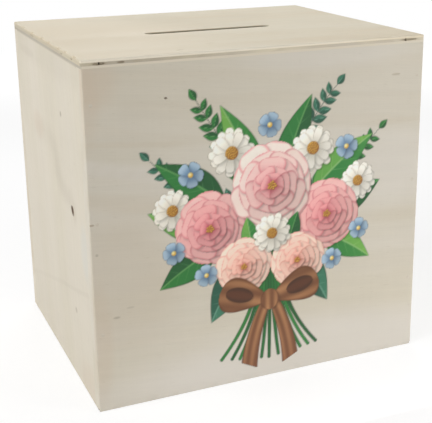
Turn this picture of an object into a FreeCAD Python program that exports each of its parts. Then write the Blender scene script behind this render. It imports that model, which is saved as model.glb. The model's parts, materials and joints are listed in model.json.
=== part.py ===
import FreeCAD, Part
import os

from FreeCAD import Vector

# Wooden money box: four glued and nailed boards, a plywood lid with a coin slot glued on top of them,
# and a plywood base that slides out to the right, in grooves, to let the money out.
# Millimetres. +Z is up, the front faces -Y, and the origin is the middle of the footprint, on the table.

# Outside of the whole box
box_width = 150.0
box_depth = 122.0
box_height = 145.0

# Thickness of the four boards, and of the three layers of the plywood that the lid and base are cut from
wall = 6.0
upper_ply = 1.0
core_ply = 1.2
lower_ply = 0.95

# Coin slot in the lid, with round ends: its size, and how far its middle lies from the lid's
slot_length = 59.0
slot_width = 5.0
slot_easing = 0.25
slot_left_of_middle = 2.0
slot_ahead_of_middle = 5.5

# Gaps between the three strips of the lid's core ply: how wide, and how far in from the lid's ends
left_gap_width = 0.5
left_gap_inset = 6.9
right_gap_width = 0.6
right_gap_inset = 8.9

# Sanded edges: upright corners, the lid's top edge and the boards' bottom edges
corner_radius = 0.6
lid_easing = 0.5
foot_easing = 0.4

# Sliding base: how high it runs, how far it reaches into the boards and its free play in the grooves
base_lift = 4.5
groove_depth = 2.8
slide_clearance = 0.15

# Fingernail notch in the underside of the base, near the end that is pulled
notch_length = 24.0
notch_width = 8.0
notch_inset = 7.0

# Brads that hold the front and back boards to the ends of the side boards
brad_diameter = 1.2
brad_length = 18.0
brad_head_diameter = 1.5
brad_head_height = 0.6
brad_point_length = 2.0
brads_per_corner = 3
lowest_brad_height = 34.0
highest_brad_below_lid = 14.0

# Worked out from the sizes above
sheet = upper_ply + core_ply + lower_ply
half_width = box_width / 2
half_depth = box_depth / 2
inner_half_width = half_width - wall
inner_half_depth = half_depth - wall
wall_top = box_height - sheet
groove_floor = base_lift - slide_clearance
groove_roof = base_lift + sheet + slide_clearance
groove_left = -inner_half_width - groove_depth
groove_half_depth = inner_half_depth + groove_depth
base_left = groove_left + slide_clearance
base_half_depth = groove_half_depth - slide_clearance
slot_middle = Vector(-slot_left_of_middle, -slot_ahead_of_middle, 0)

# A rounding takes at most this share of the ply that it is sanded on
most_of_ply = 0.9
# Two coordinates this close are the same
same_place = 1e-6


def block(x_range, y_range, z_range):
    corner = Vector(x_range[0], y_range[0], z_range[0])
    size = Vector(x_range[1], y_range[1], z_range[1]) - corner
    return Part.makeBox(size.x, size.y, size.z, corner)


def stadium(length, width, z_range):
    """Upright prism with round ends, its length along X, centred on the Z axis."""
    radius = width / 2
    run = length / 2 - radius
    front_line = Part.LineSegment(Vector(-run, -radius, 0), Vector(run, -radius, 0))
    right_end = Part.Arc(Vector(run, -radius, 0), Vector(run + radius, 0, 0), Vector(run, radius, 0))
    back_line = Part.LineSegment(Vector(run, radius, 0), Vector(-run, radius, 0))
    left_end = Part.Arc(Vector(-run, radius, 0), Vector(-run - radius, 0, 0), Vector(-run, -radius, 0))
    outline = Part.Wire([line.toShape() for line in (front_line, right_end, back_line, left_end)])
    outline.translate(Vector(0, 0, z_range[0]))
    return Part.Face(outline).extrude(Vector(0, 0, z_range[1] - z_range[0]))


def same(value, target):
    return abs(value - target) < same_place


def upright_edges(shape):
    return [edge for edge in shape.Edges if same(edge.BoundBox.XLength, 0) and same(edge.BoundBox.YLength, 0)]


def edges_at_height(shape, z):
    return [edge for edge in shape.Edges if same(edge.BoundBox.ZMin, z) and same(edge.BoundBox.ZMax, z)]


def mirrored_to_back(shape):
    return shape.mirror(Vector(0, 0, 0), Vector(0, 1, 0))


def brad(x, z):
    """One brad with a small flush head, driven from the front face towards the back."""
    along = Vector(0, 1, 0)
    start = Vector(x, -half_depth, z)
    shank_length = brad_length - brad_point_length
    head = Part.makeCylinder(brad_head_diameter / 2, brad_head_height, start, along)
    shank = Part.makeCylinder(brad_diameter / 2, shank_length, start, along)
    point = Part.makeCone(brad_diameter / 2, 0, brad_point_length, start + along * shank_length, along)
    return head.fuse([shank, point]).removeSplitter()


def brads_through_front():
    """An upright row of brads at each end of the front board, centred in the side board behind it."""
    highest_brad = wall_top - highest_brad_below_lid
    step = (highest_brad - lowest_brad_height) / (brads_per_corner - 1)
    side_board_middle = half_width - wall / 2
    row = []
    for x in (-side_board_middle, side_board_middle):
        for index in range(brads_per_corner):
            row.append(brad(x, lowest_brad_height + index * step))
    return Part.Compound(row)


def front_board():
    """Full-width board that covers the ends of the side boards, with a groove open at the right end."""
    inner_face = -inner_half_depth
    board = block((-half_width, half_width), (-half_depth, inner_face), (0, wall_top))
    outer_corners = [edge for edge in upright_edges(board) if same(edge.BoundBox.YMin, -half_depth)]
    board = board.makeFillet(corner_radius, outer_corners)
    outer_foot = [edge for edge in edges_at_height(board, 0) if not same(edge.BoundBox.YMin, inner_face)]
    board = board.makeFillet(foot_easing, outer_foot)
    groove = block((groove_left, half_width), (-groove_half_depth, inner_face), (groove_floor, groove_roof))
    return board.cut(groove)


def left_board():
    """Board between the front and back boards, with the groove that the base pushes home into."""
    length = (-inner_half_depth, inner_half_depth)
    board = block((-half_width, -inner_half_width), length, (0, wall_top))
    outer_foot = [edge for edge in edges_at_height(board, 0) if same(edge.BoundBox.XMax, -half_width)]
    board = board.makeFillet(foot_easing, outer_foot)
    return board.cut(block((groove_left, -inner_half_width), length, (groove_floor, groove_roof)))


def right_board():
    """Board between the front and back boards, cut short at the bottom so that the base passes under it."""
    length = (-inner_half_depth, inner_half_depth)
    return block((inner_half_width, half_width), length, (groove_roof, wall_top))


def plywood(prefix, lowest, layer):
    """The three layers of a plywood piece, from the bottom up, each made by layer(z_range)."""
    pieces = {}
    z = lowest
    for name, thickness in (("lower_ply", lower_ply), ("core_ply", core_ply), ("upper_ply", upper_ply)):
        pieces[prefix + "_" + name] = layer((z, z + thickness))
        z += thickness
    return pieces


def lid_layer(z_range):
    """One layer of the lid, flush with the boards all round, with its stretch of the coin slot."""
    most_easing = most_of_ply * (z_range[1] - z_range[0])
    layer = block((-half_width, half_width), (-half_depth, half_depth), z_range)
    layer = layer.makeFillet(corner_radius, upright_edges(layer))
    if same(z_range[1], box_height):
        layer = layer.makeFillet(min(lid_easing, most_easing), edges_at_height(layer, box_height))
    slot = stadium(slot_length, slot_width, z_range)
    slot.translate(slot_middle)
    layer = layer.cut(slot)
    for lid_face in (wall_top, box_height):
        if same(z_range[0], lid_face) or same(z_range[1], lid_face):
            rim = [edge for edge in edges_at_height(layer, lid_face) if same(edge.distToShape(slot)[0], 0)]
            layer = layer.makeFillet(min(slot_easing, most_easing), rim)
    return layer


def in_strips(core):
    """The lid's core ply, parted into strips by a gap near each end of the lid."""
    left_gap = -half_width + left_gap_inset
    right_gap = half_width - right_gap_inset
    for x_range in ((left_gap, left_gap + left_gap_width), (right_gap - right_gap_width, right_gap)):
        core = core.cut(block(x_range, (-half_depth, half_depth), (wall_top, box_height)))
    return core


def base_layer(z_range):
    """One layer of the base, from the left groove to the outside of the right board, notched from below."""
    layer = block((base_left, half_width), (-base_half_depth, base_half_depth), z_range)
    notch = stadium(notch_length, notch_width, (base_lift, base_lift + lower_ply + core_ply))
    notch.rotate(Vector(0, 0, 0), Vector(0, 0, 1), 90)
    notch.translate(Vector(half_width - notch_inset - notch_width / 2, 0, 0))
    return layer.cut(notch)


front_brads = brads_through_front()
back_brads = mirrored_to_back(front_brads)
parts = {
    "front_board": front_board().cut(front_brads),
    "back_board": mirrored_to_back(front_board()).cut(back_brads),
    "left_board": left_board().cut([front_brads, back_brads]),
    "right_board": right_board().cut([front_brads, back_brads]),
    "front_brads": front_brads,
    "back_brads": back_brads,
}
parts.update(plywood("lid", wall_top, lid_layer))
parts["lid_core_ply"] = in_strips(parts["lid_core_ply"])
parts.update(plywood("base", base_lift, base_layer))

os.makedirs("parts", exist_ok=True)
for name, shape in parts.items():
    shape.exportStep("parts/" + name + ".step")
    print(name, "solids", len(shape.Solids), "volume", round(shape.Volume, 1), "valid", shape.isValid())
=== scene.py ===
import json
import math

import bmesh
import bpy
import numpy as np
from mathutils import Euler, Matrix, Vector

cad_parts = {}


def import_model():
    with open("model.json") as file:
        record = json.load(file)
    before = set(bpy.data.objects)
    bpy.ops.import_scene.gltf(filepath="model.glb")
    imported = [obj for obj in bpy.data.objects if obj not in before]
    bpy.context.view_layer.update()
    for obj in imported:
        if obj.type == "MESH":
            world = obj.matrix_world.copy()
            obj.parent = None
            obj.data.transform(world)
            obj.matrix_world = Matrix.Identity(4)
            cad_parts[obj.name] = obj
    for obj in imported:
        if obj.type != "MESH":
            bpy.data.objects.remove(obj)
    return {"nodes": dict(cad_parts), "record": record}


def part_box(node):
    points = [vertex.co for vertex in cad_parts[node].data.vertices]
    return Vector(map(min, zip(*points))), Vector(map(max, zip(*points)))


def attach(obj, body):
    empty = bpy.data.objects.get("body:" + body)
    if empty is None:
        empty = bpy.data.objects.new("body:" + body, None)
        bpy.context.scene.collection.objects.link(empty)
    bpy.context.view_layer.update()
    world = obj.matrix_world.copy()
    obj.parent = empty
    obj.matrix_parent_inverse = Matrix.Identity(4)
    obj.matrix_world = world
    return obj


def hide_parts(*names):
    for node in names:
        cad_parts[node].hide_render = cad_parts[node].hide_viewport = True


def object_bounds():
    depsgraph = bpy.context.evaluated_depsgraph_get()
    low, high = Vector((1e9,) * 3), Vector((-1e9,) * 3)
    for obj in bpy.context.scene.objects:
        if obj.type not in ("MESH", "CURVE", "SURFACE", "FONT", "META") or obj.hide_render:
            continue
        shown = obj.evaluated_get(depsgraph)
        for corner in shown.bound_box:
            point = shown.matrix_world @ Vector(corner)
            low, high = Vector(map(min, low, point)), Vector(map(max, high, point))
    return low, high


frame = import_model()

# Wooden money box: the looks of its boards, plywood, brads and print, and the studio round it.
# Metres, in the frame of the solids: +Z is up and the front faces -Y. Names that end in _mm are millimetres.

MM = 0.001
cad_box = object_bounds()
low, high = cad_box
middle = (low + high) / 2
front_mm = low.y / MM
left_mm = low.x / MM
right_mm = high.x / MM
back_mm = high.y / MM
lid_mm = high.z / MM


def linear(colour):
    """Colours as they look on a screen, 0 to 255, as the linear colours that a shader works in."""
    share = np.asarray(colour) / 255
    return np.where(share < 0.04045, share / 12.92, ((share + 0.055) / 1.055) ** 2.4)


# Sockets of a Mix node that mixes colours: the two that go in and the one that comes out
MIX_COLOURS = (6, 7)
MIX_RESULT = 2


class Shader:
    """A material under construction. The methods add nodes and return the socket with their result."""

    def __init__(self, name):
        self.material = bpy.data.materials.new(name)
        self.material.use_nodes = True
        self.tree = self.material.node_tree
        self.surface = self.tree.nodes["Principled BSDF"]
        coordinates = self.tree.nodes.new("ShaderNodeTexCoord")
        self.place = coordinates.outputs["Object"]
        self.facing = coordinates.outputs["Normal"]

    def add(self, kind, inputs, **settings):
        node = self.tree.nodes.new(kind)
        for name, value in settings.items():
            setattr(node, name, value)
        for name, value in inputs.items():
            self.feed(node.inputs[name], value)
        return node

    def feed(self, socket, value):
        if isinstance(value, bpy.types.NodeSocket):
            self.tree.links.new(value, socket)
        elif socket.type == "RGBA":
            socket.default_value = (*value, 1.0)
        else:
            socket.default_value = value

    def math(self, operation, a, b=0.0):
        return self.add("ShaderNodeMath", {0: a, 1: b}, operation=operation).outputs[0]

    def vector(self, operation, a, b=(0.0, 0.0, 0.0)):
        return self.add("ShaderNodeVectorMath", {0: a, 1: b}, operation=operation).outputs[0]

    def length(self, vector):
        return self.add("ShaderNodeVectorMath", {0: vector}, operation="LENGTH").outputs["Value"]

    def axes(self, vector):
        return self.add("ShaderNodeSeparateXYZ", {0: vector}).outputs

    def combine(self, x, y, z):
        return self.add("ShaderNodeCombineXYZ", {0: x, 1: y, 2: z}).outputs[0]

    def noise(self, place, per_metre, detail=2.0):
        stretched = self.vector("MULTIPLY", place, per_metre)
        inputs = {"Vector": stretched, "Scale": 1.0, "Detail": detail}
        return self.add("ShaderNodeTexNoise", inputs).outputs[0]

    def smooth(self, value, start, end, first=0.0, last=1.0):
        """A smooth ramp from first, where the value is start, to last, where it is end."""
        inputs = {0: value, 1: start, 2: end, 3: first, 4: last}
        return self.add("ShaderNodeMapRange", inputs, interpolation_type="SMOOTHSTEP").outputs[0]

    def mix(self, share, a, b):
        inputs = {0: share, MIX_COLOURS[0]: a, MIX_COLOURS[1]: b}
        return self.add("ShaderNodeMix", inputs, data_type="RGBA").outputs[MIX_RESULT]

    def tint(self, colour, factor):
        """A colour made lighter or darker by a factor."""
        return self.vector("MULTIPLY", colour, self.combine(factor, factor, factor))

    def spot(self, centre_mm, radii_mm, soft):
        """1 inside an ellipsoid round a point, falling to 0 at its surface over a soft share of its radii."""
        away = self.vector("SUBTRACT", self.place, tuple(c * MM for c in centre_mm))
        shares = self.vector("DIVIDE", away, tuple(r * MM for r in radii_mm))
        return self.smooth(self.length(shares), 1.0, 1.0 - soft)

    def bump(self, height, distance):
        inputs = {"Height": height, "Distance": distance, "Strength": 1.0}
        self.feed(self.surface.inputs["Normal"], self.add("ShaderNodeBump", inputs).outputs[0])


# Wood. Its colours are written as they look on a screen, 0 to 255.

PALE = linear((222, 214, 198))
CREAM = linear((223, 212, 186))
STRAW = linear((221, 206, 176))
SAND = linear((208, 200, 182))
IVORY = linear((219, 211, 193))
TAN = linear((207, 197, 178))
ASH = linear((209, 201, 184))
ROSE = linear((214, 207, 193))
BLUSH = linear((206, 184, 160))
MIST = linear((219, 213, 204))
HAZE = linear((214, 213, 205))
LINEN = linear((238, 225, 200))
# A painted highlight for the lid's rounded front edge
EDGE_HIGHLIGHT = linear((241, 232, 213))
RING = linear((196, 180, 154))
PORE = linear((160, 142, 118))
RESIN = linear((80, 52, 24))
STAIN = linear((180, 170, 152))
DUSK = linear((138, 125, 104))
# Browning from the cutter and painted shade, on the walls of the coin slot
BROWNED_AND_SHADED = linear((112, 98, 76))

# The wood filler on the heads of the brads
FILLER_LIGHT = linear((208, 199, 183))
FILLER_DARK = linear((200, 190, 172))

# Below, a ramp is where it starts and ends, and then its values there, unless these are 0 and 1.

# The coin slot: half its straight run, the radius of its ends, and the ramp from the lid to the slot's wall
SLOT_RUN_MM = 27.0
SLOT_RADIUS_MM = 2.5
SLOT_WALL_MM = (SLOT_RADIUS_MM + 0.3, SLOT_RADIUS_MM + 0.05)
# Ramps of how dark its walls are painted, for browning by the cutter and for painted shade that deepens below
# the lid's face, and along X from the slot's middle, lighter towards the left end where light falls
SLOT_RIM = (0.25 * MM, 0.8 * MM, 0.05, 0.9)
SLOT_LEFT_END = (-29.5 * MM, -25.0 * MM, 0.3, 1.0)
openings = {opening["name"]: opening["box_m"] for opening in frame["record"]["physics"]["openings"]}
slot_middle = (Vector(openings["coin_slot"][0]) + Vector(openings["coin_slot"][1])) / 2

# For each way that the grain may run, the axes along it, across it and into the wood
GRAIN_ORDER = {"X": (0, 2, 1), "Y": (1, 0, 2), "Z": (2, 1, 0)}

# How fine the patterns of the wood are, per metre along the grain, across it and into the wood
WARP_GRAIN = (9.0, 22.0, 22.0)
CLOUD_GRAIN = (7.0, 38.0, 38.0)
STREAK_GRAIN = (16.0, 420.0, 420.0)
FIBRE_GRAIN = (90.0, 2600.0, 2600.0)
SANDING_GRAIN = (1100.0, 14.0, 1100.0)
PORE_GRAIN = (240.0, 2100.0, 2100.0)
BAND_GRAIN = (14.0, 0.0, 0.0)

# Year rings: how far they stray, and the late wood that each ends in
RING_STRAY = 16.0 * MM
LATE_RISE = (0.25, 0.9)
LATE_FALL = (1.0, 0.85)
# Darker clouds and pores, and how light or dark the finer patterns make the wood
CLOUD_RAMP = (0.35, 0.68)
PORE_RAMP = (0.69, 0.76)
PORE_SHARE = 0.13
STREAK_TONES = (0.3, 0.7, 0.986, 1.008)
FIBRE_TONES = (0.25, 0.75, 0.985, 1.01)
SANDING_TONES = (0.3, 0.7, 0.995, 1.003)
# A greyer band above a line along the grain: how far the line strays, and the ramp across it
BAND_STRAY = 12.0 * MM
BAND_RAMP = (-1.5 * MM, 1.5 * MM, 0.0, 0.6)
# How squarely a face has to lie across an axis to take that axis's tone
FACING_RAMP = (0.25, 0.65)
# Heights of fibres and late wood, where a pore is 1 deep
FIBRE_HEIGHT = 0.5
LATE_HEIGHT = 0.3

# Sanded edges: how fine the wear's patches are, how far it reaches in from an edge, and how strong it is
WEAR_GRAIN = (160.0, 160.0, 160.0)
WEAR_REACH = (1.0 * MM, 0.2 * MM)
WEAR_STRENGTH = (0.35, 0.6, 0.05, 0.35)
# Scuffs in the same patches near the table, and faint grime all over
SCUFF_REACH = (3.0 * MM, 0.4 * MM)
SCUFF_STRENGTH = (0.46, 0.62, 0.0, 0.15)
GRIME_GRAIN = (24.0, 24.0, 24.0)
GRIME_TONES = (0.45, 0.75, 1.0, 0.97)
# The surface: how rough it is by height, how much it shines and how deep its pores are
WOOD_ROUGHNESS = (-0.4, 0.7, 0.74, 0.58)
WOOD_SPECULAR = 0.25
WOOD_BUMP = 0.03 * MM

FILLER_GRAIN = (900.0, 900.0, 900.0)
FILLER_RAMP = (0.35, 0.65)
FILLER_ROUGHNESS = (0.3, 0.7, 0.6, 0.8)
FILLER_BUMP = 0.05 * MM

# How much of a mark's radius is its soft rim, on flat wood and on the walls of hollows
SOFT_RIM = 0.6
CRISP_RIM = 0.25


class Wood:
    """How one piece of wood was cut: the way its grain runs and leans, where the tree's heart lay, how far
    apart and how bold its rings are, and where a band starts. Each tone is an axis, and how much lighter or
    darker the wood is where it faces along that axis."""

    def __init__(self, grain, heart_mm, ring_mm, light, dark, seed, tilt, rings=0.3, band_mm=None, tones=()):
        self.grain = grain
        self.heart_mm = heart_mm
        self.ring_mm = ring_mm
        self.light = light
        self.dark = dark
        self.seed = seed
        self.tilt = tilt
        self.rings = rings
        self.band_mm = band_mm
        self.tones = tones

    def draw(self, s):
        """Adds the wood's nodes and returns its colour and its height, before marks."""
        coordinates = s.axes(s.place)
        along, level, depth = (coordinates[index] for index in GRAIN_ORDER[self.grain])
        across = s.math("SUBTRACT", level, s.math("MULTIPLY", along, self.tilt))
        along = s.math("ADD", along, self.seed)
        place = s.combine(along, across, depth)
        heart_across = s.math("SUBTRACT", across, self.heart_mm[0] * MM)
        heart_depth = s.math("SUBTRACT", depth, self.heart_mm[1] * MM)
        from_heart = s.length(s.combine(0.0, heart_across, heart_depth))
        stray = s.math("MULTIPLY", s.noise(place, WARP_GRAIN), RING_STRAY)
        ring = s.math("FRACT", s.math("DIVIDE", s.math("ADD", from_heart, stray), self.ring_mm * MM))
        late = s.math("MULTIPLY", s.smooth(ring, *LATE_RISE), s.smooth(ring, *LATE_FALL))
        cloud = s.smooth(s.noise(place, CLOUD_GRAIN, detail=3.0), *CLOUD_RAMP)
        streak = s.noise(place, STREAK_GRAIN, detail=3.0)
        fibre = s.noise(place, FIBRE_GRAIN, detail=1.0)
        sanding = s.noise(place, SANDING_GRAIN, detail=1.0)
        pore = s.smooth(s.noise(place, PORE_GRAIN, detail=1.0), *PORE_RAMP)
        colour = s.mix(cloud, self.light, self.dark)
        if self.band_mm is not None:
            line = s.math("MULTIPLY", s.noise(place, BAND_GRAIN), BAND_STRAY)
            above = s.math("SUBTRACT", s.math("ADD", level, line), self.band_mm * MM + BAND_STRAY / 2)
            colour = s.mix(s.smooth(above, *BAND_RAMP), colour, ASH)
        colour = s.mix(s.math("MULTIPLY", late, self.rings), colour, RING)
        colour = s.mix(s.math("MULTIPLY", pore, PORE_SHARE), colour, PORE)
        for pattern, tones in ((streak, STREAK_TONES), (fibre, FIBRE_TONES), (sanding, SANDING_TONES)):
            colour = s.tint(colour, s.smooth(pattern, *tones))
        for axis, tone in self.tones:
            facing = s.math("ABSOLUTE", s.axes(s.facing)["XYZ".index(axis)])
            colour = s.tint(colour, s.smooth(facing, *FACING_RAMP, 1.0, tone))
        fibres = s.math("MULTIPLY", fibre, FIBRE_HEIGHT)
        ridges = s.math("MULTIPLY", late, LATE_HEIGHT)
        return colour, s.math("SUBTRACT", s.math("ADD", fibres, ridges), pore)


def edge_distance(s):
    """Distance along the surface of the box to its nearest edge."""
    half = (high - low) / 2
    from_middle = s.vector("ABSOLUTE", s.vector("SUBTRACT", s.place, tuple(middle)))
    x, y, z = s.axes(s.vector("SUBTRACT", from_middle, tuple(half)))
    highest = s.math("MAXIMUM", s.math("MAXIMUM", x, y), z)
    lowest = s.math("MINIMUM", s.math("MINIMUM", x, y), z)
    total = s.math("ADD", s.math("ADD", x, y), z)
    between = s.math("SUBTRACT", s.math("SUBTRACT", total, highest), lowest)
    return s.math("MULTIPLY", between, -1.0)


def finish_wood(s, colour, height):
    """Sanded edges, scuffs near the table, a little grime, and the surface itself."""
    patchy = s.noise(s.place, WEAR_GRAIN, detail=3.0)
    near_edge = s.smooth(edge_distance(s), *WEAR_REACH)
    worn = s.math("MULTIPLY", near_edge, s.smooth(patchy, *WEAR_STRENGTH))
    colour = s.mix(worn, colour, PALE)
    near_table = s.smooth(s.axes(s.place)[2], *SCUFF_REACH)
    scuffed = s.math("MULTIPLY", near_table, s.smooth(patchy, *SCUFF_STRENGTH))
    colour = s.mix(scuffed, colour, STAIN)
    grime = s.smooth(s.noise(s.place, GRIME_GRAIN, detail=4.0), *GRIME_TONES)
    s.feed(s.surface.inputs["Base Color"], s.tint(colour, grime))
    s.feed(s.surface.inputs["Roughness"], s.smooth(height, *WOOD_ROUGHNESS))
    s.surface.inputs["Specular IOR Level"].default_value = WOOD_SPECULAR
    s.bump(height, WOOD_BUMP)


def marked(s, colour, marks, soft=SOFT_RIM):
    """A colour with marks on it. Each is a colour, its strength and the ellipsoid that it fills."""
    for mark_colour, strength, centre_mm, radii_mm in marks:
        inside = s.math("MULTIPLY", s.spot(centre_mm, radii_mm, soft), strength)
        colour = s.mix(inside, colour, mark_colour)
    return colour


def trail(colour, strength, points_mm, radii_mm, count):
    """Marks in a row along a line of points."""
    points = np.array(points_mm)
    shares = np.linspace(0, len(points) - 1, count)
    columns = [np.interp(shares, np.arange(len(points)), column) for column in points.T]
    return tuple((colour, strength, tuple(centre), radii_mm) for centre in np.stack(columns, axis=1).tolist())


def stains(colour, strength, hollows, reach=1.25):
    """Marks on the walls of hollows, which reach past them by a factor."""
    return tuple(
        (colour, strength, centre, tuple(reach * radius for radius in radii)) for centre, radii, _ in hollows)


def wood_material(name, wood, marks=(), wall_marks=()):
    s = Shader(name)
    colour, height = wood.draw(s)
    colour = marked(s, colour, marks)
    finish_wood(s, marked(s, colour, wall_marks, CRISP_RIM), height)
    return s.material


def lid_material(name, wood, marks=()):
    """A ply of the lid, its slot's walls darkened by browning from the cutter and by painted shade, but less
    at their rim and left end, where light falls.
    """
    s = Shader(name)
    colour, height = wood.draw(s)
    x, y, z = s.axes(s.vector("SUBTRACT", s.place, tuple(slot_middle)))
    past_run = s.math("MAXIMUM", s.math("SUBTRACT", s.math("ABSOLUTE", x), SLOT_RUN_MM * MM), 0.0)
    from_slot = s.length(s.combine(past_run, y, 0.0))
    on_wall = s.smooth(from_slot, *(distance * MM for distance in SLOT_WALL_MM))
    below_rim = s.smooth(s.math("SUBTRACT", high.z - slot_middle.z, z), *SLOT_RIM)
    past_left_end = s.smooth(x, *SLOT_LEFT_END)
    browned_and_shaded = s.math("MULTIPLY", on_wall, s.math("MULTIPLY", below_rim, past_left_end))
    finish_wood(s, s.mix(browned_and_shaded, marked(s, colour, marks), BROWNED_AND_SHADED), height)
    return s.material


def brad_material():
    """Wire brads whose flush heads are dressed with a wood filler, a shade off the board."""
    s = Shader("filled brad")
    patchy = s.noise(s.place, FILLER_GRAIN)
    s.feed(s.surface.inputs["Base Color"], s.mix(s.smooth(patchy, *FILLER_RAMP), FILLER_LIGHT, FILLER_DARK))
    s.feed(s.surface.inputs["Roughness"], s.smooth(patchy, *FILLER_ROUGHNESS))
    s.bump(patchy, FILLER_BUMP)
    return s.material


FRONT_WOOD = Wood(
    "X", heart_mm=(40.0, -230.0), ring_mm=5.5, light=ROSE, dark=SAND, seed=0.0, tilt=-0.1, rings=0.09,
    band_mm=108.0, tones=(("X", 1.08),))
BACK_WOOD = Wood(
    "X", heart_mm=(95.0, 190.0), ring_mm=6.0, light=PALE, dark=TAN, seed=1.3, tilt=0.06, rings=0.2,
    band_mm=64.0, tones=(("X", 1.08),))
LEFT_WOOD = Wood(
    "Z", heart_mm=(35.0, -160.0), ring_mm=7.0, light=PALE, dark=IVORY, seed=2.7, tilt=0.1, rings=0.05)
RIGHT_WOOD = Wood(
    "Z", heart_mm=(-20.0, 210.0), ring_mm=6.5, light=PALE, dark=TAN, seed=3.9, tilt=-0.08, rings=0.2)
LID_UPPER_WOOD = Wood(
    "X", heart_mm=(-30.0, 30.0), ring_mm=9.0, light=CREAM, dark=STRAW, seed=5.1, tilt=0.04, rings=0.04,
    tones=(("X", 0.86), ("Y", 1.08)))
LID_LOWER_WOOD = Wood(
    "X", heart_mm=(10.0, 45.0), ring_mm=9.0, light=ASH, dark=TAN, seed=5.9, tilt=-0.03, rings=0.04,
    tones=(("X", 0.76), ("Y", 1.14)))
LID_CORE_WOOD = Wood(
    "Y", heart_mm=(20.0, 10.0), ring_mm=4.0, light=CREAM, dark=TAN, seed=6.4, tilt=0.03,
    tones=(("X", 0.83), ("Y", 0.94)))
BASE_FACE_WOOD = Wood(
    "X", heart_mm=(60.0, -60.0), ring_mm=8.0, light=PALE, dark=TAN, seed=7.7, tilt=-0.05, rings=0.2,
    tones=(("X", 0.80),))
BASE_CORE_WOOD = Wood(
    "Y", heart_mm=(-40.0, 25.0), ring_mm=4.0, light=CREAM, dark=TAN, seed=8.8, tilt=0.03,
    tones=(("X", 0.76), ("Y", 0.70)))


def on_front(x, z):
    return (x, front_mm, z)


def on_left(y, z):
    return (left_mm, y, z)


# Marks on the wood, with painted light and shade where said. Lines of points first: a grey streak on the left
# board, and a fine line low on it
LEFT_STREAK = (
    on_left(22.8, 100.4), on_left(9.0, 103.0), on_left(-1.7, 103.6), on_left(-9.9, 99.7),
    on_left(-12.8, 93.8), on_left(-12.8, 88.5), on_left(-17.8, 84.7), on_left(-26.1, 83.4),
    on_left(-34.3, 82.9),
)
LEFT_LINE = (
    on_left(54.6, 20.3), on_left(18.9, 30.3), on_left(-8.2, 37.6), on_left(-32.2, 43.0),
    on_left(-52.3, 48.3),
)
# Each mark is a colour, its strength, its middle and its radii
FRONT_MARKS = (
    (BLUSH, 0.3, on_front(-73.0, 137.0), (15.0, 4.0, 16.0)),
    (BLUSH, 0.2, on_front(-75.0, 129.0), (8.0, 4.0, 24.0)),
    (BLUSH, 0.25, on_front(-73.0, 30.0), (7.0, 3.0, 34.0)),
    (RING, 0.3, on_front(-62.0, 54.0), (36.0, 3.0, 36.0)),
    # Painted light: a broad lighter band along the foot of the front board, for light bounced up from the
    # floor
    (MIST, 0.65, on_front(20.0, 6.0), (110.0, 3.0, 24.0)),
    (MIST, 0.28, on_front(62.0, 89.0), (36.0, 3.0, 20.0)),
    (MIST, 0.35, on_front(28.0, 140.0), (55.0, 3.0, 9.0)),
    (RING, 0.12, on_front(60.0, 108.5), (26.0, 3.0, 2.0)),
    (RING, 0.15, on_front(64.0, 66.0), (24.0, 3.0, 5.0)),
    (STAIN, 0.9, on_front(-65.9, 40.5), (2.0, 1.0, 0.7)),
    (STAIN, 0.5, on_front(-60.0, 43.9), (2.2, 1.0, 0.6)),
    (STAIN, 0.8, on_front(-72.7, 68.3), (0.8, 1.0, 0.8)),
    *trail(MIST, 0.22, (on_front(-78.0, 104.5), on_front(-44.0, 97.0)), (9.0, 3.0, 4.5), 6),
    *trail(RING, 0.12, (on_front(-78.0, 90.5), on_front(-40.0, 84.0)), (9.0, 3.0, 5.5), 8),
    *trail(RING, 0.10, (on_front(-76.0, 113.0), on_front(-40.0, 109.5)), (8.0, 3.0, 1.6), 8),
)
LEFT_MARKS = (
    *trail(STAIN, 0.04, LEFT_STREAK, (2.0, 12.0, 8.0), 14),
    *trail(STAIN, 0.035, LEFT_STREAK[2:], (2.0, 7.0, 5.0), 13),
    *trail(STAIN, 0.09, LEFT_LINE, (2.0, 4.5, 1.3), 26),
    (BLUSH, 0.2, on_left(20.0, 104.0), (2.0, 14.0, 8.0)),
    (BLUSH, 0.2, on_left(-50.0, 4.0), (2.0, 22.0, 16.0)),
    (HAZE, 0.5, on_left(-52.0, 66.0), (2.0, 9.0, 16.0)),
    (STAIN, 0.13, on_left(0.0, 141.0), (2.0, 120.0, 14.0)),
    (STAIN, 0.12, on_left(36.0, 134.8), (2.0, 20.0, 3.0)),
    # Painted shadow: a thin dark line along the left board's top edge, in the seam under the lid
    (STAIN, 0.5, on_left(0.0, 142.0), (2.0, 300.0, 0.9)),
    (TAN, 0.5, on_left(-37.5, 79.0), (2.0, 5.0, 6.0)),
    (STAIN, 0.8, on_left(-24.1, 117.5), (2.0, 1.8, 1.6)),
    (STAIN, 0.6, on_left(-30.8, 33.3), (2.0, 2.2, 1.8)),
    (STAIN, 0.6, on_left(-57.3, 42.8), (2.0, 1.8, 1.6)),
)
RESIN_MARKS = trail(RESIN, 0.42, (on_left(-34.5, 80.1), on_left(-35.5, 78.3)), (2.0, 2.3, 1.5), 5)
LID_MARKS = (
    (LINEN, 0.65, (-70.0, 5.0, lid_mm), (75.0, 110.0, 0.6)),
    # A painted highlight along the lid's front top edge, where its rounding catches the light
    (EDGE_HIGHLIGHT, 0.8, (-40.0, front_mm, lid_mm - 0.5), (140.0, 1.6, 1.4)),
    (PORE, 0.4, (-33.4, -53.8, lid_mm), (2.0, 0.7, 1.0)),
    (PORE, 0.25, (-16.2, -42.4, lid_mm), (2.4, 0.6, 1.0)),
)

# Pieces

# A face whose normal has a share this large along one axis is one of a board's flat faces
FLAT = 0.9999
# Faces that meet at a larger angle have a sharp edge between them
SHARP_ANGLE = math.radians(32)
# How often the faces of a ball that cuts a hollow are divided
BALL_SUBDIVISIONS = 3
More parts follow.
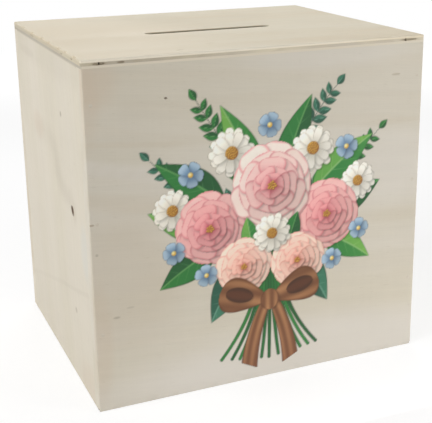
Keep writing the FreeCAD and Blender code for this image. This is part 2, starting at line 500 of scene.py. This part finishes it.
# Turns a ball a little, so that none of its points lies in the plane of a face that it cuts
SKEW = Euler((0.35, 0.2, 0.6)).to_matrix().to_4x4()
# Points of a piece that lie closer together than this are one
SPECK = 0.001 * MM
# The most sides that a face is left with
MOST_SIDES = 4


def dress(node, material):
    """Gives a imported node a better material."""
    slots = frame["nodes"][node].data.materials
    slots.clear()
    slots.append(material)


def link(name, data):
    """Puts a mesh, lamp or camera into the scene."""
    holder = bpy.data.objects.new(name, data)
    bpy.context.collection.objects.link(holder)
    return holder


def ellipsoids(hollows):
    """One mesh of ellipsoids. A hollow is its centre, its radii and its lean about X, Y and Z, in degrees."""
    shapes = bmesh.new()
    for centre_mm, radii_mm, lean in hollows:
        size = Matrix.Diagonal((*(radius * MM for radius in radii_mm), 1.0))
        turn = Euler([math.radians(angle) for angle in lean])
        place = Matrix.LocRotScale(Vector(centre_mm) * MM, turn, None)
        ball = place @ size @ SKEW
        bmesh.ops.create_icosphere(shapes, subdivisions=BALL_SUBDIVISIONS, radius=1.0, matrix=ball)
    mesh = bpy.data.meshes.new("hollows")
    shapes.to_mesh(mesh)
    shapes.free()
    return mesh


def welded(name, mesh):
    """A copy of a mesh whose close points are joined, with no loose edges and no face of many sides."""
    shape = bmesh.new()
    shape.from_mesh(mesh)
    bmesh.ops.remove_doubles(shape, verts=shape.verts, dist=SPECK)
    loose = [edge for edge in shape.edges if not edge.link_faces]
    bmesh.ops.delete(shape, geom=loose, context="EDGES")
    bmesh.ops.triangulate(shape, faces=[face for face in shape.faces if len(face.verts) > MOST_SIDES])
    copy = bpy.data.meshes.new(name)
    shape.to_mesh(copy)
    shape.free()
    return copy


def carve(name, node, material, hollows):
    """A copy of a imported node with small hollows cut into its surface, which stands for the node."""
    solid = link("solid", welded("solid", frame["nodes"][node].data))
    cutter = link("cutter", ellipsoids(hollows))
    cut = solid.modifiers.new("cut", "BOOLEAN")
    cut.operation = "DIFFERENCE"
    cut.solver = "EXACT"
    cut.use_self = True
    cut.object = cutter
    result = solid.evaluated_get(bpy.context.evaluated_depsgraph_get())
    carved = welded(name, bpy.data.meshes.new_from_object(result))
    for leftover in (solid, cutter):
        bpy.data.objects.remove(leftover)
    carved.materials.clear()
    carved.materials.append(material)
    carved.attributes.remove(carved.attributes["custom_normal"])
    carved.set_sharp_from_angle(angle=SHARP_ANGLE)
    smooth = [max(map(abs, face.normal)) < FLAT for face in carved.polygons]
    carved.polygons.foreach_set("use_smooth", smooth)
    piece = link(name, carved)
    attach(piece, "carcass")
    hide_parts(node)


# Torn spots in the core ply's sawn edges: their half lengths, depths and half height, how far they stay from
# the ply's faces and from the lid's corners, and how many there are besides those at the front
VOID_LENGTHS_MM = (0.4, 1.1)
VOID_DEPTHS_MM = (0.3, 0.6)
VOID_HEIGHT_MM = 0.3
VOID_FROM_FACE_MM = 0.4
VOID_FROM_CORNER_MM = 4
VOID_COUNT = 12
UPRIGHT = (0, 0, 0)


def core_voids(count, seed):
    """Small torn spots along the sawn back and side edges of the lid's core ply."""
    random = np.random.default_rng(seed)
    low_mm, high_mm = (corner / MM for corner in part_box("lid_core_ply"))
    voids = []
    for index in range(count):
        along = random.uniform(*VOID_LENGTHS_MM)
        deep = random.uniform(*VOID_DEPTHS_MM)
        z = random.uniform(low_mm.z + VOID_FROM_FACE_MM, high_mm.z - VOID_FROM_FACE_MM)
        if index % 2:
            x = random.uniform(left_mm + VOID_FROM_CORNER_MM, right_mm - VOID_FROM_CORNER_MM)
            voids.append(((x, back_mm, z), (along, deep, VOID_HEIGHT_MM), UPRIGHT))
        else:
            y = random.uniform(front_mm + VOID_FROM_CORNER_MM, back_mm - VOID_FROM_CORNER_MM)
            x = random.choice((left_mm, right_mm))
            voids.append(((x, y, z), (deep, along, VOID_HEIGHT_MM), UPRIGHT))
    return voids


# Tears along the lid's left edge: where each lies along Y, and its half length
LID_TEARS = ((40.4, 3.0), (22.0, 2.0), (3.1, 3.5), (-9.5, 2.5), (-26.7, 3.0), (-37.2, 2.2), (-50.9, 2.6))
# Each tear is a row of bites: a bite's place along the tear, its length, how far it goes in and how far down,
# as shares of the tear's, and its lean about the X and Z axes
LID_BITES = (
    (-0.72, 0.42, 0.55, 0.45, 5.0, 6.0),
    (-0.22, 0.50, 0.95, 0.80, -4.0, -7.0),
    (0.30, 0.44, 0.70, 1.00, 6.0, 5.0),
    (0.76, 0.40, 0.50, 0.40, -7.0, -9.0),
)
TEAR_IN_MM = 0.95
TEAR_DOWN_MM = 0.85


def torn_off(y, length, bite):
    """One bite of a tear, as a hollow on the lid's left edge."""
    place, long, far_in, far_down, lean_x, lean_z = bite
    radii_mm = (TEAR_IN_MM * far_in, long * length, TEAR_DOWN_MM * far_down)
    return ((left_mm, y + place * length, lid_mm), radii_mm, (lean_x, 0, lean_z))


# Hollows in the boards and plies
FRONT_NICKS = (
    (on_front(-74.2, 80.8), (1.1, 0.3, 0.4), (0, 4, 0)),
    (on_front(61.5, 129.0), (2.0, 0.15, 0.5), (0, 2, 0)),
)
FRONT_CHIPS = (
    (on_front(-42.4, 128.1), (0.65, 0.5, 0.42), (0, 20, 0)),
    ((left_mm, front_mm + 1.1, 0.2), (0.6, 0.8, 1.0), UPRIGHT),
    (on_front(right_mm, 0.3), (0.8, 0.8, 1.0), UPRIGHT),
)
RESIN_POCKET = (on_left(-35.0, 79.2), (0.9, 1.6, 2.1), (-32, 0, 0))
LID_HOLLOWS = (
    *(torn_off(y, length, bite) for y, length in LID_TEARS for bite in LID_BITES),
    ((-33.4, -53.8, lid_mm), (1.9, 0.4, 0.15), (0, 0, -3)),
    ((-16.2, -42.4, lid_mm), (2.2, 0.35, 0.12), (0, 0, -2)),
)
core_middle_mm = sum(corner.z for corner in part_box("lid_core_ply")) / 2 / MM
EDGE_VOIDS = (
    ((-68.1, front_mm, core_middle_mm), (2.3, 0.7, 0.55), UPRIGHT),
    ((-59.6, front_mm, core_middle_mm), (1.3, 0.4, 0.4), UPRIGHT),
    ((67.3, front_mm, core_middle_mm), (3.8, 0.6, 0.4), UPRIGHT),
    *core_voids(VOID_COUNT, seed=4),
)
CORE_MARKS = (
    (DUSK, 0.3, (-70.0, front_mm, core_middle_mm), (75.0, 2.0, 2.0)),
    *stains(DUSK, 0.7, EDGE_VOIDS, reach=1.5),
)
FRONT_STAINS = (
    *stains(PORE, 0.5, FRONT_NICKS[:1]),
    *stains(PORE, 0.3, FRONT_NICKS[1:]),
    *stains(RESIN, 0.55, FRONT_CHIPS),
)


# Print: a tied bunch of flowers on the front board. Its colours are as they look on a screen, 0 to 255, its
# sizes are millimetres and its angles are degrees from the right, turning up.

# Leaves: the darker half, the brighter half and the veins
DEEP_LEAF = ((20, 84, 42), (42, 126, 56), (150, 196, 120))
BRIGHT_LEAF = ((42, 126, 56), (116, 176, 78), (190, 216, 150))
BLUE_LEAF = ((30, 84, 66), (58, 122, 96), (150, 190, 170))
# Full blossoms: deep, middle and pale
ROSE_PINK = ((168, 62, 78), (220, 122, 128), (243, 190, 184))
SHELL_PINK = ((168, 62, 78), (220, 122, 128), (250, 226, 214))
PEACH = ((186, 92, 84), (232, 156, 140), (250, 218, 200))
# Petals: base, tip and rim
WHITE_PETAL = ((206, 200, 184), (248, 243, 230), (170, 160, 140))
BLUE_PETAL = ((92, 124, 156), (164, 188, 206), (74, 100, 136))
# Bright and dark side of a seed, bright middle of a small flower, and dark and bright side of the ribbon
POLLEN = ((226, 178, 76), (150, 98, 40))
SMALL_HEART = (250, 236, 170)
RIBBON = ((88, 48, 28), (190, 138, 94))
# The angle from one seed to the next, in radians, and the angle that the light on the flowers comes from
GOLDEN_ANGLE = 2.4
LIT_FROM = 130.0
# Ink this thin is left off, and cover this small counts as none
FAINTEST_INK = 0.004
NO_INK = 1e-6
# Points along a brush line
STROKE_POINTS = 60
# The grid that the ink is painted on, how thick its film is, how much of the wood it hides, and how much of
# the grain shows in it
PRINT_WIDTH = (-56.0, 60.0)
PRINT_HEIGHT = (5.0, 134.0)
PRINT_STEP = 0.42
FILM_THICKNESS = 0.03 * MM
INK_HIDES = 0.97
INK_GRAIN = 0.6


def blend(share, a, b):
    share = np.asarray(share)[..., None]
    return np.asarray(a) * (1 - share) + np.asarray(b) * share


def ramp(value, start, end):
    share = np.clip((value - start) / (end - start), 0, 1)
    return share * share * (3 - 2 * share)


def petal_outline(t):
    """Half the width of a petal from its base to its tip, as a share of the widest."""
    swell = t ** 0.8
    round_tip = np.sqrt(1 - t ** 4)
    widest = 0.66
    return swell * round_tip / widest


def leaf_outline(t):
    """As for a petal, but pointed at both ends and widest a little before the middle."""
    return np.sin(np.pi * t ** 0.85)


def oval_outline(t):
    return 2 * np.sqrt(t * (1 - t))


def tail_outline(t):
    """A ribbon's end, which grows wider from the knot."""
    at_knot = 0.55
    growth = 0.45
    return at_knot + growth * t


def petal_colours(base, tip, edge, phase, light=1.0):
    """Streaks from the base of a petal, a paler tip and a thin darker rim."""
    broad = 17
    fine = 41
    fine_share = 0.6
    streak_depth = 0.022
    edge_share = 0.55

    def colours(t, side, rim):
        streaks = np.sin(side * broad + phase) + fine_share * np.sin(side * fine + 2 * phase)
        shade = 1 + streak_depth * streaks * (1 - t)
        colour = blend(ramp(t, 0.05, 0.85), base, tip) * shade[..., None]
        line = np.maximum(ramp(rim, 0.80, 1.0) * ramp(t, 0.1, 0.5), ramp(t, 0.93, 1.0))
        return blend(edge_share * line, colour, edge) * light

    return colours


def leaf_colours(dark, bright, vein, veins):
    """A darker and a brighter half, a midrib and slanting veins."""
    half_share = 0.75
    slope = 1.3
    vein_share = 0.5
    side_vein_share = 0.6
    edge_share = 0.55
    edge_tone = 0.8

    def colours(t, side, rim):
        bright_share = half_share * ramp(side, -0.12, 0.12) + (1 - half_share) * ramp(t, 0.2, 1.0)
        colour = blend(bright_share, dark, bright)
        slant = (t * veins - np.abs(side) * slope) % 1
        side_vein = ramp(np.abs(slant - 0.5), 0.40, 0.5) * (1 - rim)
        midrib = 1 - ramp(np.abs(side), 0.02, 0.12 - 0.05 * t)
        colour = blend(vein_share * np.maximum(side_vein_share * side_vein, midrib), colour, vein)
        return blend(edge_share * ramp(rim, 0.82, 1.0), colour, np.asarray(dark) * edge_tone)

    return colours


def ribbon_colours(t, side, rim):
    """Folds along the ribbon, darker towards its end and its edges."""
    dark, bright = RIBBON
    folds = 7
    sheen = 0.5 + 0.5 * np.sin(side * folds)
    colour = blend(0.3 + 0.6 * sheen * (1 - 0.5 * t), dark, bright)
    return blend(0.7 * ramp(rim, 0.75, 1.0), colour, dark)


def ribbon_lining(t, side, rim):
    """The inside of a loop, darkest at its edge."""
    dark = RIBBON[0]
    edge_tone = 0.75
    return blend(ramp(rim, 0.2, 1.0), dark, np.asarray(dark) * edge_tone)


def fill_pinches(squares):
    """Fills a square wherever two squares of a grid would touch at a corner alone."""
    a, b, c, d = squares[:-1, :-1], squares[:-1, 1:], squares[1:, :-1], squares[1:, 1:]
    pinched = True
    while pinched:
        falling = a & d & ~b & ~c
        rising = b & c & ~a & ~d
        b |= falling
        a |= rising
        pinched = falling.any() or rising.any()


class Print:
    """Ink on a fine upright grid, painted shape by shape, in millimetres of x and z."""

    def __init__(self, x_range, z_range, step, seed):
        self.step = step
        self.random = np.random.default_rng(seed)
        self.xs = np.arange(*x_range, step)
        self.zs = np.arange(*z_range, step)
        self.ink = np.zeros((len(self.zs), len(self.xs), 3))
        self.cover = np.zeros((len(self.zs), len(self.xs), 1))

    def window(self, x, z, reach):
        """The part of the grid within reach of a point, and the coordinates there."""
        columns = slice(*np.searchsorted(self.xs, (x - reach, x + reach)))
        rows = slice(*np.searchsorted(self.zs, (z - reach, z + reach)))
        return (rows, columns), *np.meshgrid(self.xs[columns], self.zs[rows])

    def lay(self, where, inside, colours):
        """Lays colours over the ink that is there, as far as inside says."""
        share = inside[..., None]
        under = self.cover[where] * (1 - share)
        cover = under + share
        self.ink[where] = (self.ink[where] * under + colours * share) / np.maximum(cover, NO_INK)
        self.cover[where] = cover

    def blade(self, x, z, angle, length, half_width, outline, colours, bend=0.0):
        """A petal, leaf or ribbon that grows from a point, and its soft shadow. colours(t, side, rim) shades
        it: t runs from its base to its tip, side from one edge to the other and rim from its midline to an
        edge."""
        shadow = 0.2
        shadow_shift = 0.5
        shadow_rim = 1.8
        margin = 2
        turn = math.radians(angle)
        ahead = (math.cos(turn), math.sin(turn))
        reach = length / 2 + half_width + abs(bend) * length ** 2 + margin
        where, grid_x, grid_z = self.window(x + ahead[0] * length / 2, z + ahead[1] * length / 2, reach)

        def shape(shift, soft):
            dx = grid_x - x - shift
            dz = grid_z - z + shift
            along = dx * ahead[0] + dz * ahead[1]
            across = dz * ahead[0] - dx * ahead[1] - bend * along ** 2
            t = np.clip(along / length, 0, 1)
            half = half_width * outline(t)
            between_ends = (along > 0) * (along < length)
            inside = np.clip(0.5 + (half - np.abs(across)) / soft, 0, 1) * between_ends
            return t, across, half, inside

        self.ink[where] *= 1 - shadow * shape(shadow_shift, shadow_rim)[3][..., None]
        t, across, half, inside = shape(0.0, 1.2 * self.step)
        rim = np.clip(np.abs(across) / np.maximum(half, NO_INK), 0, 1)
        self.lay(where, inside, colours(t, across / half_width, rim))

    def stroke(self, points, width, colour, taper):
        """A brush line along the curve of three points, which it returns."""
        middle_tone = 1.12
        fall_off = 0.35
        t = np.linspace(0, 1, STROKE_POINTS)
        start, bow, end = (np.array(point, float) for point in points)
        line = np.outer((1 - t) ** 2, start) + np.outer(2 * t * (1 - t), bow) + np.outer(t ** 2, end)
        lowest = line.min(0)
        highest = line.max(0)
        reach = (highest - lowest).max() / 2 + width
        where, grid_x, grid_z = self.window(*(lowest + highest) / 2, reach)
        away = np.hypot(grid_x[..., None] - line[:, 0], grid_z[..., None] - line[:, 1])
        half = width / 2 * (1 - taper * t[away.argmin(-1)])
        nearest = away.min(-1)
        inside = np.clip(0.5 + (half - nearest) / self.step, 0, 1)
        roundness = middle_tone - fall_off * np.clip(nearest / half, 0, 1)
        self.lay(where, inside, np.asarray(colour) * roundness[..., None])
        return line

    def dot(self, x, z, radius, bright, dark):
        """A ball, brightest up on its left."""
        highlight = 0.3
        where, grid_x, grid_z = self.window(x, z, radius + 1)
        away = np.hypot(grid_x - x, grid_z - z)
        lit = np.hypot(grid_x - x + radius * highlight, grid_z - z - radius * highlight) / radius
        inside = np.clip(0.5 + (radius - away) / self.step, 0, 1)
        self.lay(where, inside, blend(ramp(lit, 0.2, 1.1), bright, dark))

    def seeds(self, x, z, reach, count, radius):
        """Dots of pollen, evenly spread over a disc."""
        for index in range(count):
            away = reach * math.sqrt(index / count)
            turn = index * GOLDEN_ANGLE
            self.dot(x + away * math.cos(turn), z + away * math.sin(turn), radius, *POLLEN)

    def leaf(self, x, z, angle, length, half_width, tones, bend=0.0, veins=6):
        self.blade(x, z, angle, length, half_width, leaf_outline, leaf_colours(*tones, veins), bend)

    def sprig(self, points, pairs, size, tones):
        """Pairs of small leaves along a thin stem, smaller towards its tip."""
        bare_share = 0.25
        shrink = 0.5
        spread = 48
        width_share = 0.27
        veins = 4
        line = self.stroke(points, width=0.9, colour=tones[0], taper=0.5)
        steps = len(line) - 2
        for index in range(pairs):
            at = int(steps * (bare_share + (1 - bare_share) * index / pairs))
            ahead = math.degrees(math.atan2(*(line[at + 1] - line[at])[::-1]))
            length = size * (1 - shrink * index / pairs)
            for side in (-1, 1):
                self.leaf(*line[at], ahead + side * spread, length, length * width_share, tones, veins=veins)
        self.leaf(*line[-1], ahead, size * 0.6, size * 0.18, tones, veins=veins)

    def ring(self, x, z, turn, count, length, half_width, tones, wobble):
        """Petals round a centre, brighter on the side that the light comes from."""
        light_share = 0.08
        most_phase = 6
        lengths = (0.93, 1.04)
        for index in (*range(0, count, 2), *range(1, count, 2)):
            angle = turn + 360 * index / count + self.random.uniform(-wobble, wobble)
            light = 1 + light_share * math.cos(math.radians(angle - LIT_FROM))
            colours = petal_colours(*tones, self.random.uniform(0, most_phase), light)
            petal = length * self.random.uniform(*lengths)
            self.blade(x, z, angle, petal, half_width, petal_outline, colours)

    def daisy(self, x, z, radius):
        """Two rings of white petals round a disc of seeds. A ring is its size, its petals and its turn."""
        for size, count, turn in ((1.0, 13, 40), (0.86, 11, 34)):
            self.ring(x, z, turn, count, radius * size, radius * 0.19, WHITE_PETAL, wobble=4)
        self.dot(x, z, radius * 0.27, *POLLEN)
        self.seeds(x, z, reach=radius * 0.24, count=26, radius=radius * 0.045)

    def small_flower(self, x, z, radius):
        petals = 5
        turn = self.random.uniform(0, 360 / petals)
        self.ring(x, z, turn, petals, radius, radius * 0.46, BLUE_PETAL, wobble=3)
        self.dot(x, z, radius * 0.2, SMALL_HEART, POLLEN[0])

    def blossom(self, x, z, radius, turn, tones):
        """A full flower of five rings of petals, deeper in colour towards its heart. A ring is its size, its
        petals and half the width of a petal."""
        deep, mid, pale = tones
        rings = ((1.0, 9, 0.40), (0.83, 8, 0.38), (0.64, 7, 0.34), (0.45, 6, 0.27), (0.28, 5, 0.18))
        ring_turn = 20
        rim = blend(0.35, mid, deep)
        for level, (size, count, half) in enumerate(rings):
            heart = level / (len(rings) - 1)
            petal = (blend(0.25 + 0.5 * heart, mid, deep), blend(0.55 * heart, pale, mid), rim)
            self.ring(x, z, turn + ring_turn * level, count, radius * size, radius * half, petal, wobble=6)
        self.seeds(x, z, reach=radius * 0.10, count=14, radius=radius * 0.03)

    def tied_bow(self, x, z):
        """Two tails, two loops that show their lining, and the knot."""
        tail_spread = 26
        tail_bend = 0.006
        loop_spread = 72
        loop_bend = 0.002
        for side in (-1, 1):
            down = 270 + side * tail_spread
            self.blade(x + side * 1.5, z, down, 30, 4.2, tail_outline, ribbon_colours, side * -tail_bend)
        for side in (-1, 1):
            out = 90 - side * loop_spread
            bend = side * -loop_bend
            self.blade(x, z, out, 24, 8, petal_outline, ribbon_colours, bend)
            self.blade(x + side * 8, z + 2.5, out, 13, 3.4, oval_outline, ribbon_lining, bend)
        self.blade(x, z - 4.6, 90, 9.5, 4.4, oval_outline, ribbon_colours)

    def film(self, thickness, wood):
        """The ink as a thin solid on the front board: squares that hold ink, coloured at their corners."""
        inked = self.cover[..., 0] > FAINTEST_INK
        squares = inked[:-1, :-1] | inked[1:, :-1] | inked[:-1, 1:] | inked[1:, 1:]
        fill_pinches(squares)
        columns = len(self.xs)
        rows_at, columns_at = np.nonzero(squares)
        corner = rows_at * columns + columns_at
        front = np.stack((corner, corner + 1, corner + columns + 1, corner + columns), axis=1)
        used, front = np.unique(front, return_inverse=True)
        count = len(used)
        front = front.reshape(-1, 4)
        back = front[:, ::-1] + count
        edges = np.stack((front, np.roll(front, -1, axis=1)), axis=2).reshape(-1, 2)
        twin = set(map(tuple, edges[:, ::-1]))
        rim = [(b, a, a + count, b + count) for a, b in edges.tolist() if (a, b) not in twin]
        across = self.xs[used % columns] * MM
        up = self.zs[used // columns] * MM
        depths = (low.y - thickness, low.y)
        sides = [np.stack((across, np.full(count, depth), up), axis=1) for depth in depths]
        mesh = bpy.data.meshes.new("front_print")
        mesh.from_pydata(np.concatenate(sides).tolist(), [], front.tolist() + back.tolist() + rim)
        screen = np.clip(self.ink, 0, 255)
        colours = np.concatenate((linear(screen), self.cover), axis=2).reshape(-1, 4)[used]
        ink = mesh.color_attributes.new("ink", "FLOAT_COLOR", "POINT")
        ink.data.foreach_set("color", np.concatenate((colours, colours)).astype(np.float32).ravel())
        mesh.materials.append(print_material(wood))
        piece = link("front_print", mesh)
        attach(piece, "carcass")


def print_material(wood):
    """Ink that has soaked into the wood: the grain shows through it."""
    s = Shader("print")
    colour, height = wood.draw(s)
    colour = marked(s, colour, FRONT_MARKS)
    ink = s.add("ShaderNodeVertexColor", {}, layer_name="ink").outputs
    grain = s.vector("DIVIDE", colour, tuple(wood.light))
    grained = s.vector("MULTIPLY", ink["Color"], s.mix(INK_GRAIN, (1.0, 1.0, 1.0), grain))
    finish_wood(s, s.mix(s.math("MULTIPLY", ink["Alpha"], INK_HIDES), colour, grained), height)
    return s.material


# The bunch. Sprigs: the start, bow and end of the stem, and the leaves' size and colours
SPRIGS = (
    (((2, 80), (-20, 108), (-30, 126)), 9.5, DEEP_LEAF),
    (((4, 80), (18, 112), (33, 127)), 9.5, BLUE_LEAF),
    (((0, 74), (-34, 86), (-50, 104)), 9.0, BLUE_LEAF),
    (((4, 74), (36, 88), (54, 106)), 9.0, DEEP_LEAF),
)
LEAF_PAIRS = 8
# Leaves: x and z of the base, angle, length, colours and bend
LEAVES = (
    (-4, 86, 104, 40, BRIGHT_LEAF, 0.004), (8, 86, 80, 40, DEEP_LEAF, -0.004),
    (-18, 82, 140, 36, DEEP_LEAF, 0.003), (22, 82, 46, 36, BRIGHT_LEAF, -0.004),
    (-22, 72, 168, 31, BRIGHT_LEAF, -0.004), (26, 72, 14, 31, DEEP_LEAF, 0.004),
    (-20, 64, 200, 31, DEEP_LEAF, 0.005), (24, 64, -22, 31, BRIGHT_LEAF, -0.005),
    (-10, 54, 228, 28, BLUE_LEAF, 0.006), (14, 54, -46, 28, BLUE_LEAF, -0.006),
)
LEAF_HALF_WIDTH = 7.0
# Flowers: x and z of the middle, and the radius
DAISIES = ((-15, 103, 10.5), (22, 101, 10.5), (44, 84, 9), (-41, 82, 9))
SMALL_FLOWERS = (
    (-33, 96, 5.5), (38, 100, 5.5), (-41, 64, 5), (45, 62, 5), (2, 113, 5.5), (-27, 52, 5), (32, 50, 5),
)
# Stems: how many, the x that they stand about, how wide they are, how far apart at the top, the bow and the
# foot, and the heights of these, where the foot's rises from the middle outwards
STEMS = 11
STEM_X = 2
STEM_WIDTH = 2.1
STEM_GAPS = (1.4, 0.4, 4.6)
STEM_TOP = 58
STEM_BOW = 36
STEM_FOOT = 9
STEM_FOOT_RISE = 0.6


def bouquet():
    paint = Print(PRINT_WIDTH, PRINT_HEIGHT, PRINT_STEP, seed=7)
    for points, size, tones in SPRIGS:
        paint.sprig(points, LEAF_PAIRS, size, tones)
    for x, z, angle, length, tones, bend in LEAVES:
        paint.leaf(x, z, angle, length, LEAF_HALF_WIDTH, tones, bend)
    for index in range(STEMS):
        spread = index - (STEMS - 1) / 2
        top_x, bow_x, foot_x = (STEM_X + gap * spread for gap in STEM_GAPS)
        foot = (foot_x + paint.random.uniform(-1, 1), STEM_FOOT + STEM_FOOT_RISE * abs(spread))
        tone = blend(paint.random.uniform(0, 1), DEEP_LEAF[0], DEEP_LEAF[1])
        paint.stroke(((top_x, STEM_TOP), (bow_x, STEM_BOW), foot), STEM_WIDTH, tone, taper=0.2)
    for x, z, radius in DAISIES:
        paint.daisy(x, z, radius)
    paint.blossom(-25, 72, 16, 10, ROSE_PINK)
    paint.blossom(29, 71, 16, 30, ROSE_PINK)
    paint.blossom(3, 87, 19, 0, SHELL_PINK)
    paint.leaf(-6, 60, 100, 15, 4, BRIGHT_LEAF)
    paint.leaf(10, 60, 70, 15, 4, DEEP_LEAF)
    paint.blossom(-10, 53, 13, 50, PEACH)
    paint.blossom(15, 52, 13, 20, PEACH)
    paint.daisy(3, 66, 9)
    for x, z, radius in SMALL_FLOWERS:
        paint.small_flower(x, z, radius)
    paint.tied_bow(2, 36)
    return paint


# The parts dressed

dress("back_board", wood_material("back board", BACK_WOOD))
dress("right_board", wood_material("right board", RIGHT_WOOD))
dress("lid_lower_ply", lid_material("lid lower ply", LID_LOWER_WOOD))
base_face = wood_material("base face ply", BASE_FACE_WOOD)
dress("base_upper_ply", base_face)
dress("base_core_ply", wood_material("base core ply", BASE_CORE_WOOD))
dress("base_lower_ply", base_face)
filled = brad_material()
dress("front_brads", filled)
dress("back_brads", filled)
front_wood = wood_material("front board", FRONT_WOOD, FRONT_MARKS, FRONT_STAINS)
left_wood = wood_material("left board", LEFT_WOOD, LEFT_MARKS, RESIN_MARKS)
lid_face = lid_material("lid upper ply", LID_UPPER_WOOD, LID_MARKS)
lid_core = lid_material("lid core ply", LID_CORE_WOOD, CORE_MARKS)
carve("front_board_wood", "front_board", front_wood, FRONT_NICKS + FRONT_CHIPS)
carve("left_board_wood", "left_board", left_wood, (RESIN_POCKET,))
carve("lid_upper_wood", "lid_upper_ply", lid_face, LID_HOLLOWS)
carve("lid_core_wood", "lid_core_ply", lid_core, EDGE_VOIDS)
bouquet().film(FILM_THICKNESS, FRONT_WOOD)

# Studio

# The floor: how far it reaches, and the ramp of distances over which it turns from shaded to plain white
FLOOR_REACH = 6.0
FLOOR_FADE = (0.3, 0.9)
# Its grey as light finds it, and near the object its grey and its glow as the camera sees it
FLOOR_GREY = (0.85, 0.85, 0.85)
SHADED_GREY = (0.42, 0.42, 0.42)
NEAR_GLOW = 0.66
BLACK = (0.0, 0.0, 0.0)
# The even light from all round
WORLD_STRENGTH = 0.38


def backdrop_rays(tree):
    """1 for rays that see the studio straight on, in a reflection or through glass."""
    path = tree.nodes.new("ShaderNodeLightPath").outputs
    share = path["Is Camera Ray"]
    for name in ("Is Glossy Ray", "Is Transmission Ray"):
        highest = tree.nodes.new("ShaderNodeMath")
        highest.operation = "MAXIMUM"
        tree.links.new(share, highest.inputs[0])
        tree.links.new(path[name], highest.inputs[1])
        share = highest.outputs[0]
    return share


def floor():
    """A pale floor that shows the object's shadow near it and is plain white farther off."""
    mesh = bpy.data.meshes.new("floor")
    corners = [(x * FLOOR_REACH, y * FLOOR_REACH, 0) for x, y in ((-1, -1), (1, -1), (1, 1), (-1, 1))]
    mesh.from_pydata(corners, [], [(0, 1, 2, 3)])
    s = Shader("floor")
    away = s.smooth(s.length(s.place), *FLOOR_FADE)
    plain = s.add("ShaderNodeBsdfDiffuse", {"Color": FLOOR_GREY}).outputs[0]
    shaded = s.add("ShaderNodeBsdfDiffuse", {"Color": s.mix(away, SHADED_GREY, BLACK)}).outputs[0]
    glow = s.add("ShaderNodeEmission", {"Strength": s.smooth(away, 0.0, 1.0, NEAR_GLOW, 1.0)}).outputs[0]
    seen = s.add("ShaderNodeAddShader", {0: shaded, 1: glow}).outputs[0]
    either = s.add("ShaderNodeMixShader", {0: backdrop_rays(s.tree), 1: plain, 2: seen}).outputs[0]
    s.feed(s.tree.nodes["Material Output"].inputs["Surface"], either)
    s.tree.nodes.remove(s.surface)
    mesh.materials.append(s.material)
    link("floor", mesh)


def world():
    """Even light from all round, which looks plain white itself."""
    made = bpy.data.worlds.new("studio")
    made.use_nodes = True
    tree = made.node_tree
    tree.nodes.clear()
    output = tree.nodes.new("ShaderNodeOutputWorld")
    choice = tree.nodes.new("ShaderNodeMixShader")
    tree.links.new(backdrop_rays(tree), choice.inputs[0])
    for index, strength in ((1, WORLD_STRENGTH), (2, 1.0)):
        background = tree.nodes.new("ShaderNodeBackground")
        background.inputs["Color"].default_value = (1, 1, 1, 1)
        background.inputs["Strength"].default_value = strength
        tree.links.new(background.outputs[0], choice.inputs[index])
    tree.links.new(choice.outputs[0], output.inputs["Surface"])
    bpy.context.scene.world = made


def softbox(name, place, size, target, watts):
    """A rectangular lamp that faces a point."""
    lamp = bpy.data.lights.new(name, "AREA")
    lamp.shape = "RECTANGLE"
    lamp.size, lamp.size_y = size
    lamp.energy = watts
    holder = link(name, lamp)
    holder.location = place
    holder.rotation_mode = "QUATERNION"
    holder.rotation_quaternion = (target - Vector(place)).to_track_quat("-Z", "Y")
    holder.visible_camera = False


def camera():
    """The photograph's view, as a fit of the box's edges gives it, in pixels of the photograph."""
    frame_width_px = 432.0
    frame_height_px = 423.0
    focal_px = 970.6
    axis_px = (250.0, 180.4)
    azimuth, elevation, roll = (math.radians(angle) for angle in (-24.194, 16.781, -0.334))
    place = Vector((-0.1632, -0.4086, 0.2054))
    data = bpy.data.cameras.new("camera")
    data.sensor_width = 36.0
    data.lens = data.sensor_width * focal_px / frame_width_px
    data.shift_x = (frame_width_px / 2 - axis_px[0]) / frame_width_px
    data.shift_y = (axis_px[1] - frame_height_px / 2) / frame_width_px
    data.clip_start = 0.01
    holder = link("camera", data)
    level = math.cos(elevation)
    back = Vector((math.sin(azimuth) * level, -math.cos(azimuth) * level, math.sin(elevation)))
    turn = back.to_track_quat("Z", "Y").to_matrix().to_4x4()
    holder.matrix_world = Matrix.Translation(place) @ turn @ Matrix.Rotation(roll, 4, "Z")
    bpy.context.scene.camera = holder


floor()
world()
softbox("key", place=(-1.05, -0.20, 0.72), size=(0.8, 0.8), target=middle, watts=8.0)
softbox("fill", place=(0.40, -0.38, 0.10), size=(0.3, 0.3), target=middle, watts=1.25)
front_foot = Vector((0.05, low.y, 0.02))
softbox("low fill", place=(0.05, -0.115, 0.012), size=(0.28, 0.02), target=front_foot, watts=0.013)
softbox("back fill", place=(0.5, 1.1, 0.6), size=(0.8, 0.8), target=middle, watts=4.5)
camera()
bpy.context.scene.view_settings.view_transform = "Standard"
